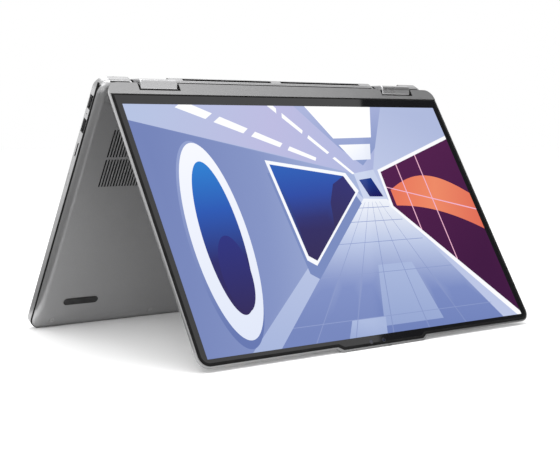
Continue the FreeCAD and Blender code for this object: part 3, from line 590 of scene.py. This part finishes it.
def far_end():
    """The far wall with its small window."""
    return [
        ([(0.612, 0.315), (0.684, 0.30), (0.692, 0.437), (0.612, 0.43)], plain("C9D3EC")),
        ([(0.622, 0.345), (0.665, 0.338), (0.682, 0.425), (0.636, 0.422)],
         fade((0.63, 0.34), (0.67, 0.42), "0E3A8F", "150A55")),
    ]


def angled_window():
    """A five-sided window: shadow, white frame, pane and the pane's darker part."""
    outline = [(0.345, 0.245), (0.585, 0.312), (0.606, 0.395), (0.385, 0.70), (0.362, 0.675)]
    frame_share = 0.085
    shadow = [(u - 0.006, w + 0.055) for u, w in outline]
    centre = (sum(p[0] for p in outline) / 5, sum(p[1] for p in outline) / 5)
    pane = [between(p, centre, frame_share) for p in outline]
    dark_part = [pane[1], pane[2], between(pane[2], pane[3], 0.55), (0.50, 0.44), (0.53, 0.36)]
    return [
        (shadow, plain("7386BC")),
        (outline, plain("F7F9FE")),
        (pane, fade((0.42, 0.27), (0.46, 0.64), "0B57B5", "0A3FA2", "160A5C", "1B0650")),
        (dark_part, fade((0.55, 0.33), (0.48, 0.55), "14126B", "1A0850")),
    ]


def round_window():
    """An oval window: shadow, broad white ring, pane and the pane's darker part."""
    return [
        (oval((0.134, 0.572), 0.415, 0.083), fade((0.05, 0.3), (0.2, 0.9), "8D9CCB", "5F72AE")),
        (oval((0.140, 0.560), 0.395, 0.080), fade((0.1, 0.2), (0.18, 0.95), "F4F6FD", "DFE6F7")),
        (oval((0.146, 0.552), 0.308, 0.054),
         fade((0.13, 0.25), (0.16, 0.85), "0D7AD0", "0B4FB0", "151063", "1C0551")),
        (oval((0.150, 0.70), 0.150, 0.040), fade((0.13, 0.56), (0.16, 0.85), "111C7A", "1B0653")),
    ]


def wall_panel():
    """A dark panel on the right wall with a pale edge, a warm band and thin lines."""
    pale_edge = [(0.698, 0.302), (1.0, 0.143), (1.0, 1.0), (0.985, 1.0), (0.694, 0.475)]
    panel = [(0.706, 0.312), (1.0, 0.160), (1.0, 0.985), (0.703, 0.470)]
    shapes = [(pale_edge, plain("FBFCFF")),
              (panel, fade((0.7, 0.3), (1.0, 0.7), "521C4C", "401440"))]
    band_start, band_steps = 0.716, 16
    band_top, band_low = [], []
    for index in range(band_steps + 1):
        share = index / band_steps
        u = band_start + (1.0 - band_start) * share
        arc = math.sin(math.pi * (0.10 + 0.75 * share))
        band_top.append((u, 0.435 - 0.125 * arc + 0.05 * share))
        band_low.append((u, 0.475 + 0.06 * share - 0.02 * arc + 0.075 * share ** 2))
    shapes.append((band_top + band_low[::-1],
                   fade((0.72, 0.4), (1.0, 0.5), "E8765A", "EE8A66", "E27058")))
    line_colour = plain("F3B8D2")
    for share in (0.22, 0.50):
        top = between(panel[0], panel[1], share)
        low = between(panel[3], panel[2], share)
        shapes.append((upright_line(top, low, 0.0016, 0.0016), line_colour))
    a, b = between(panel[0], panel[3], 0.45), between(panel[1], panel[2], 0.42)
    shapes.append(([(a[0], a[1] - 0.002), (b[0], b[1] - 0.003),
                    (b[0], b[1] + 0.003), (a[0], a[1] + 0.002)], line_colour))
    return shapes


def picture_shapes():
    """Every shape of the picture, painted from back to front."""
    groups = (hall_walls, floor_tiles, skirting_and_skylights, ceiling_lights, far_end,
              angled_window, round_window, wall_panel)
    return [shape for group in groups for shape in group()]


def inside(point, polygon):
    found = False
    x, y = point
    for index, (x1, y1) in enumerate(polygon):
        x0, y0 = polygon[index - 1]
        if (y0 > y) != (y1 > y) and x < (x1 - x0) * (y - y0) / (y1 - y0) + x0:
            found = not found
    return found


def clipped(polygon):
    """A polygon cut to the picture's rectangle."""
    sides = ((0, 0.0, False), (0, 1.0, True), (1, 0.0, False), (1, 1.0, True))
    for axis, limit, keep_below in sides:
        kept = []
        for index, b in enumerate(polygon):
            a = polygon[index - 1]
            a_in = a[axis] <= limit if keep_below else a[axis] >= limit
            b_in = b[axis] <= limit if keep_below else b[axis] >= limit
            if a_in != b_in:
                kept.append(between(a, b, (limit - a[axis]) / (b[axis] - a[axis])))
            if b_in:
                kept.append(b)
        polygon = kept
    return polygon


def picture_triangles():
    """The picture's vertices in display shares, its triangles and their corner colours."""
    columns, rows, merge_distance = 32, 20, 1e-5
    aspect = ACTIVE_WIDTH / ACTIVE_HEIGHT
    shapes = [(clipped(polygon), colour) for polygon, colour in picture_shapes()]
    coords, edges = [], []
    for polygon, _ in shapes:
        first = len(coords)
        coords += [Vector((u * aspect, w)) for u, w in polygon]
        edges += [(first + i, first + (i + 1) % len(polygon)) for i in range(len(polygon))]
    for column in range(1, columns):
        for row in range(1, rows):
            coords.append(Vector((aspect * column / columns, row / rows)))
    verts, _, found = delaunay_2d_cdt(coords, edges, [], 0, merge_distance)[:3]
    places = [(v.x / aspect, v.y) for v in verts]
    triangles, corner_colours = [], []
    for triangle in found:
        middle = sum((verts[i] for i in triangle), Vector((0, 0))) / 3
        where = (middle.x / aspect, middle.y)
        colour = next(c for polygon, c in reversed(shapes) if inside(where, polygon))
        triangles.append(tuple(triangle))
        corner_colours.append([colour(*places[i]) for i in triangle])
    return places, triangles, corner_colours


def close_plate(points, faces, thickness):
    """Side walls and a back turn a flat sheet of triangles into a closed plate."""
    border = {}
    for triangle in faces:
        for a, b in zip(triangle, triangle[1:] + triangle[:1]):
            border[(a, b)] = (b, a) not in border
            if (b, a) in border:
                border[(b, a)] = False
    rim = [pair for pair, open_edge in border.items() if open_edge]
    backs = {}
    for a, _ in rim:
        backs[a] = len(points)
        x, y, z = points[a]
        points.append((x, y, z + thickness))
    for a, b in rim:
        faces.append((b, a, backs[a], backs[b]))
    following = dict(rim)
    loop = [rim[0][0]]
    while following[loop[-1]] != loop[0]:
        loop.append(following[loop[-1]])
    faces.append(tuple(backs[a] for a in loop))


def display_surface():
    """A dark panel that glows with the colours on the mesh's corners."""
    s = Surface("lit_display", Base_Color=(0.004, 0.004, 0.005, 1), Emission_Strength=1.0,
                Specular_IOR_Level=0.22)
    attribute = s.tree.nodes.new("ShaderNodeVertexColor")
    attribute.layer_name = "picture"
    s.set("Emission Color", attribute.outputs["Color"])
    s.set("Roughness", s.spread(s.noise(26.0, 4.0), 0.03, 0.06))
    return s.material


def lit_picture():
    """The picture as one flat mesh whose corners carry its colours, on a thin closed plate."""
    places, faces, corner_colours = picture_triangles()
    left = -ACTIVE_WIDTH / 2
    points = [(left + u * ACTIVE_WIDTH, ACTIVE_REAR + w * ACTIVE_HEIGHT, GLASS_Z)
              for u, w in places]
    close_plate(points, faces, 0.6)
    mesh = bpy.data.meshes.new("lit_picture")
    mesh.from_pydata([LID @ Vector(p) for p in points], [], faces)
    colours = mesh.color_attributes.new(name="picture", type="FLOAT_COLOR", domain="CORNER")
    flat = []
    for index, polygon in enumerate(mesh.polygons):
        shades = [(0, 0, 0)] * polygon.loop_total
        if index < len(corner_colours):
            shades = corner_colours[index]
        for shade in shades:
            flat += [*shade, 1.0]
    colours.data.foreach_set("color", flat)
    mesh.materials.append(display_surface())
    obj = add_object("lit_picture", mesh)
    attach(obj, "lid")
    return obj


# ---- detail pieces ------------------------------------------------------------------
KEY_PITCH = 19.05
KEY_GAP = 2.85
KEY_TOP_Z = 6.6
KEYBOARD_REAR = 30.5
KEYBOARD_UNITS = 15
FUNCTION_KEY_DEPTH = 11.0
ARROW_KEY_GAP = 1.0
LETTER_SIZE = 4.6
FUNCTION_SIZE = 3.2
WORD_SIZE = 3.4
ARROW_SIZE = 3.6
LEGEND_HEIGHT = 0.03

SIDES = (("left", 1), ("right", -1))
BLOCK_FACES = [(0, 1, 3, 2), (4, 6, 7, 5), (0, 4, 5, 1), (2, 3, 7, 6), (0, 2, 6, 4), (1, 5, 7, 3)]


def block_points(x0, x1, y0, y1, z0, z1):
    return [(x, y, z) for x in (x0, x1) for y in (y0, y1) for z in (z0, z1)]


def joined_boxes(name, boxes, placement, body, material):
    """Several blocks in one piece, each given by its limits on X, Y and Z."""
    points, faces = [], []
    for limits in boxes:
        first = len(points)
        points += block_points(*limits)
        faces += [tuple(first + i for i in face) for face in BLOCK_FACES]
    make_piece(name, points, faces, placement, body, material)


def mirrored_box(limits, sign):
    x0, x1 = sorted((sign * limits[0], sign * limits[1]))
    return (x0, x1, *limits[2:])


def base_pair(name, boxes, material):
    """The same blocks on both sides of the base, one piece for each side."""
    for side, sign in SIDES:
        mirrored = [mirrored_box(b, sign) for b in boxes]
        joined_boxes(f"{name}_{side}", mirrored, BASE, "base", material)


def lens_disc(name, x, radius, proud, material, hole=0.0):
    """A low round plate in the glass border, or a ring when it has a hole."""
    n = 32
    heights = (GLASS_Z - proud, GLASS_Z + 0.1)
    outer = arc_points((x, CAMERA_Y), radius, 0, 360, n)[:-1]
    points = [(p.x, p.y, z) for z in heights for p in outer]
    faces = [(i, (i + 1) % n, n + (i + 1) % n, n + i) for i in range(n)]
    if hole:
        inner = arc_points((x, CAMERA_Y), hole, 0, 360, n)[:-1]
        points += [(p.x, p.y, z) for z in heights for p in inner]
        for i in range(n):
            after = (i + 1) % n
            faces.append((2 * n + i, 3 * n + i, 3 * n + after, 2 * n + after))
        for layer in (0, 1):
            a, b = layer * n, (2 + layer) * n
            faces += [(a + i, b + i, b + (i + 1) % n, a + (i + 1) % n) for i in range(n)]
    else:
        faces += [tuple(range(n)), tuple(range(n, 2 * n))]
    make_piece(name, points, faces, LID, "lid", material)


def camera_windows():
    """Lens and ring of the camera and of the infrared camera, near the lid's free edge."""
    for name, x, radius in (("camera", 0.0, 1.3), ("infrared", -14.0, 1.6)):
        lens_disc(name + "_lens", x, radius, 0.012, LENS)
        lens_disc(name + "_ring", x, radius + 0.45, 0.02, BLACK, radius)


def keyboard_legends():
    """Every legend as (node, text, left unit, width in units, rear Y, key depth, size)."""
    letter_depth = KEY_PITCH - KEY_GAP
    rows = [KEYBOARD_REAR, KEYBOARD_REAR + FUNCTION_KEY_DEPTH + KEY_GAP]
    for _ in range(4):
        rows.append(rows[-1] + KEY_PITCH)
    function_row, number_row, upper_row, home_row, lower_row, bottom_row = rows
    found = []

    def run(node, legends, left, width, rear, size=LETTER_SIZE, depth=letter_depth):
        for index, legend in enumerate(legends):
            found.append((node, legend, left + index * width, width, rear, depth, size))

    functions = ["esc"] + [f"f{n}" for n in range(1, 13)] + ["ins", "del"]
    run("keys_function_row", functions, 0.0, 1.0, function_row, FUNCTION_SIZE,
        FUNCTION_KEY_DEPTH)
    run("keys_number_row", "`1234567890-=", 0.0, 1.0, number_row)
    run("key_backspace", ["backspace"], 13.0, 2.0, number_row, WORD_SIZE)
    run("key_tab", ["tab"], 0.0, 1.5, upper_row, WORD_SIZE)
    run("keys_upper_row", "QWERTYUIOP[]", 1.5, 1.0, upper_row)
    run("keys_upper_row", "\\", 13.5, 1.5, upper_row)
    run("key_caps_lock", ["caps"], 0.0, 1.75, home_row, WORD_SIZE)
    run("keys_home_row", "ASDFGHJKL;'", 1.75, 1.0, home_row)
    run("key_enter", ["enter"], 12.75, 2.25, home_row, WORD_SIZE)
    run("key_shift_left", ["shift"], 0.0, 2.25, lower_row, WORD_SIZE)
    run("keys_lower_row", "ZXCVBNM,./", 2.25, 1.0, lower_row)
    run("key_shift_right", ["shift"], 12.25, 2.75, lower_row, WORD_SIZE)
    run("keys_modifier_row", ["ctrl", "fn", "menu", "alt"], 0.0, 1.125, bottom_row, WORD_SIZE)
    run("keys_modifier_row", ["alt", "ctrl"], 9.5, 1.25, bottom_row, WORD_SIZE)
    arrow_depth = (letter_depth - ARROW_KEY_GAP) / 2
    front = bottom_row + arrow_depth + ARROW_KEY_GAP
    arrows = (("<", 12.0, front), ("^", 13.0, bottom_row), ("v", 13.0, front), (">", 14.0, front))
    for legend, left, rear in arrows:
        run("keys_arrows", [legend], left, 1.0, rear, ARROW_SIZE, arrow_depth)
    return found


def text_mesh(text, size):
    """A legend's thin closed mesh, centred on the origin, as points and faces in millimetres."""
    curve = bpy.data.curves.new("legend", "FONT")
    curve.body = text
    curve.size = size
    curve.resolution_u = 2
    curve.extrude = LEGEND_HEIGHT
    holder = bpy.data.objects.new("legend", curve)
    mesh = bpy.data.meshes.new_from_object(holder)
    tidy = bmesh.new()
    tidy.from_mesh(mesh)
    bmesh.ops.remove_doubles(tidy, verts=tidy.verts, dist=1e-4)
    points = [v.co.copy() for v in tidy.verts]
    faces = [tuple(v.index for v in f.verts) for f in tidy.faces]
    tidy.free()
    bpy.data.objects.remove(holder)
    bpy.data.meshes.remove(mesh)
    bpy.data.curves.remove(curve)
    low = Vector([min(p[i] for p in points) for i in range(3)])
    high = Vector([max(p[i] for p in points) for i in range(3)])
    middle = (low + high) / 2
    return [p - middle for p in points], faces


def print_legends():
    """One piece per key node. Text reads towards -X, with its top towards the hinge."""
    grouped = {}
    for node, legend, left, width, rear, depth, size in keyboard_legends():
        points, faces = grouped.setdefault(node, ([], []))
        x = (KEYBOARD_UNITS / 2 - left - width / 2) * KEY_PITCH
        y = rear + depth / 2
        shape, shape_faces = text_mesh(legend, size)
        first = len(points)
        points += [(x - p.x, y - p.y, KEY_TOP_Z + p.z) for p in shape]
        faces += [tuple(first + i for i in face) for face in shape_faces]
    for node, (points, faces) in grouped.items():
        make_piece("legend_" + node, points, faces, BASE, "press_" + node, LEGEND)


def hinge_gap_shade_strips():
    """Black strips that line the notches in both halves around the hinge blocks: painted shade of
    the gaps round the blocks.
    """
    front = 7.38
    lid_rear, lid_low, lid_ledge = 0.9, -2.70, -1.4
    lid = [(150.9, 151.98, lid_rear, front, lid_low, 2.0),
           (112.62, 113.3, lid_rear, front, lid_low, lid_ledge),
           (113.3, 150.9, 6.75, front, lid_low, lid_ledge)]
    base_rear, base_low, base_high = -3.2, -4.2, 5.9
    base = [(150.3, 150.98, base_rear, front, base_low, base_high),
            (113.02, 113.7, base_rear, front, base_low, base_high)]
    for side, sign in SIDES:
        for half, boxes, placement in (("lid", lid, LID), ("base", base, BASE)):
            mirrored = [mirrored_box(b, sign) for b in boxes]
            joined_boxes(f"{half}_gap_shade_strip_{side}", mirrored, placement, half, BLACK_TRIM_AND_SHADE)


def rear_vent_grille_and_shades():
    """A black grille in each rear groove, with a liner through every window. The liners are
    painted shade inside the windows.
    """
    start, count, pitch, rib, clearance = 5.5, 16, 5.9, 0.9, 0.02
    low, high, wall = 2.22, 5.18, 0.22
    front, back, through = -3.57, -2.72, -2.12
    boxes = []
    for index in range(count):
        x0 = start + index * pitch + clearance
        x1 = x0 + pitch - rib - 2 * clearance
        # Liners at the top and bottom of each window: painted shade.
        boxes.append((x0, x1, front, through, low, low + wall))
        boxes.append((x0, x1, front, through, high - wall, high))
        if index + 1 < count:
            boxes.append((x1 + clearance, x1 + rib + clearance, front, back, low, high))
    base_pair("rear_vent_grille_and_shade", boxes, BLACK_TRIM_AND_SHADE)


def rear_gap_painted_shade():
    """A black strip under the base's rear edge, where the two halves meet: painted shade of the
    gap between them.
    """
    spans = [(-111.0, 111.0), (153.0, 171.0), (-171.0, -153.0)]
    boxes = [(x0, x1, -3.42, -2.4, -2.7, -1.2) for x0, x1 in spans]
    joined_boxes("rear_gap_painted_shade", boxes, BASE, "base", BLACK_TRIM_AND_SHADE)


def seam_painted_shade():
    """A dark strip between top case and bottom cover, round the sides and the front: painted
    shade of the seam's gap.
    """
    rear, corner_steps = -1.0, 12
    # Inset from the outline and height of the strip's four long edges
    profile = ((0.42, -1.35), (1.0, -1.35), (0.10, 0.62), (1.0, 0.62))
    points = []
    for inset, z in profile:
        half, front, radius = HALF_WIDTH - inset, BODY_FRONT - inset, CORNER_RADIUS - inset
        line = [Vector((half, rear))]
        line += arc_points((half - radius, front - radius), radius, 0, 90, corner_steps)
        line += arc_points((-half + radius, front - radius), radius, 90, 180, corner_steps)
        line += [Vector((-half, rear))]
        points += [(p.x, p.y, z) for p in line]
    count = len(line)
    faces = []
    for index in range(count - 1):
        for a, b in ((0, 1), (1, 3), (3, 2), (2, 0)):
            i, j = a * count + index, b * count + index
            faces.append((i, i + 1, j + 1, j))
    for index in (0, count - 1):
        faces.append((index, count + index, 3 * count + index, 2 * count + index))
    make_piece("seam_painted_shade", points, faces, BASE, "base", BLACK_TRIM_AND_SHADE)


def intake_slot_shade():
    """Black blocks set a little way back in each air slot of the bottom cover: painted shade
    inside the slots.
    """
    first_slot, count, pitch, width, clearance = 57.2, 36, 2.8, 1.44, 0.01
    low, high = -5.6, -4.66
    boxes = []
    for rear, front in ((38.7, 64.6), (66.8, 93.2)):
        for index in range(count):
            x = first_slot + index * pitch
            boxes.append((x + clearance, x + width, rear + clearance, front - clearance,
                          low, high))
    base_pair("intake_slot_shade", boxes, BLACK_TRIM_AND_SHADE)


base_pair("intake_mesh", [(55.5, 159.0, 37.0, 95.0, -4.62, -4.40)], DUST_MESH)
base_pair("rear_vent_mesh", [(4.0, 101.0, -2.05, -1.25, 1.9, 5.45)], DUST_MESH)
base_pair("speaker_mesh", [(151.5, 172.5, 34.0, 137.5, 5.25, 5.52)], DUST_MESH)
hinge_gap_shade_strips()
rear_vent_grille_and_shades()
rear_gap_painted_shade()
seam_painted_shade()
intake_slot_shade()
print_legends()
camera_windows()

border = glass_border()
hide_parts("touch_glass")
picture = lit_picture()

# ---- stage, lights and camera -------------------------------------------------------
scene = bpy.context.scene
scene.view_settings.view_transform = "Standard"
scene.view_settings.look = "None"

world = bpy.data.worlds.new("studio")
world.use_nodes = True
world.node_tree.nodes["Background"].inputs["Color"].default_value = (1, 1, 1, 1)
world.node_tree.nodes["Background"].inputs["Strength"].default_value = 1.0
scene.world = world


def paper(name, tone, glow, roughness=1.0, specular=0.0):
    """Matt paper or card, which may glow evenly."""
    s = Surface(name, Roughness=roughness, Base_Color=(tone, tone, tone, 1),
                Specular_IOR_Level=specular, Emission_Color=(1, 1, 1, 1), Emission_Strength=glow)
    return s.material


def flat_sheet(name, corners, material):
    mesh = bpy.data.meshes.new(name)
    mesh.from_pydata(corners, [], [(0, 1, 2, 3)])
    mesh.materials.append(material)
    obj = add_object(name, mesh)
    return obj


def level_sheet(name, x0, x1, y0, y1, z, material):
    return flat_sheet(name, [(x0, y0, z), (x1, y0, z), (x1, y1, z), (x0, y1, z)], material)


level_sheet("floor", -8, 8, -8, 8, 0, paper("floor_paper", 0.94, 0.06, 0.9, 0.1))

# Two cards are seen in reflections only, where they paint reflections: a black one high up on the
# right paints a dark reflection, and a grey one just above the floor on the left glows dimly and
# paints a dim grey reflection.
near_edge = Vector((1.101, -0.5, 1.185))
far_edge = Vector((1.019, -0.851, 0.834))
overhang = (near_edge - far_edge) * 1.2
across = Vector((0.73, 0.39, -0.56)) * 1.3
start, end = near_edge + overhang, far_edge - overhang
cards = (
    flat_sheet("dark_reflection_card", [start, end, end + across, start + across],
               paper("dark_reflection_card", 0.0, 0.0)),
    level_sheet("side_reflection_card", -1.0, -0.19, -0.35, 0.75, 0.012, paper("dim_reflection_card", 0.0, 0.28)),
)
for card in cards:
    for ray in ("camera", "diffuse", "transmission", "volume_scatter", "shadow"):
        setattr(card, "visible_" + ray, False)


def soft_light(name, place, target, size, power):
    """A round soft light at one place, aimed at another."""
    data = bpy.data.lights.new(name, "AREA")
    data.shape = "DISK"
    data.size = size
    data.energy = power
    obj = add_object(name, data)
    obj.location = place
    obj.rotation_mode = "QUATERNION"
    obj.rotation_quaternion = (Vector(target) - Vector(place)).to_track_quat("-Z", "Y")


soft_light("key_light", (-1.4, -0.8, 1.6), (0, 0, 0.1), size=1.2, power=11)
soft_light("top_light", (0.2, 0.3, 2.2), (0, 0, 0.1), size=1.6, power=24)
soft_light("side_light", (-1.3, 2.25, 0.5), (-0.18, 0.1, 0.15), size=0.8, power=2.5)

YAW, PITCH = 0.6823, 0.0798
FOCAL_PX, FRAME_PX, SENSOR_MM = 1231.2, 560, 36.0
camera_data = bpy.data.cameras.new("camera")
camera_data.sensor_width = SENSOR_MM
camera_data.lens = FOCAL_PX / FRAME_PX * SENSOR_MM
camera = add_object("camera", camera_data)
camera.location = (-0.68229, -0.83864, 0.17606)
forward = Vector((math.sin(YAW) * math.cos(PITCH), math.cos(YAW) * math.cos(PITCH),
                  -math.sin(PITCH)))
camera.rotation_mode = "QUATERNION"
camera.rotation_quaternion = forward.to_track_quat("-Z", "Y")
scene.camera = camera
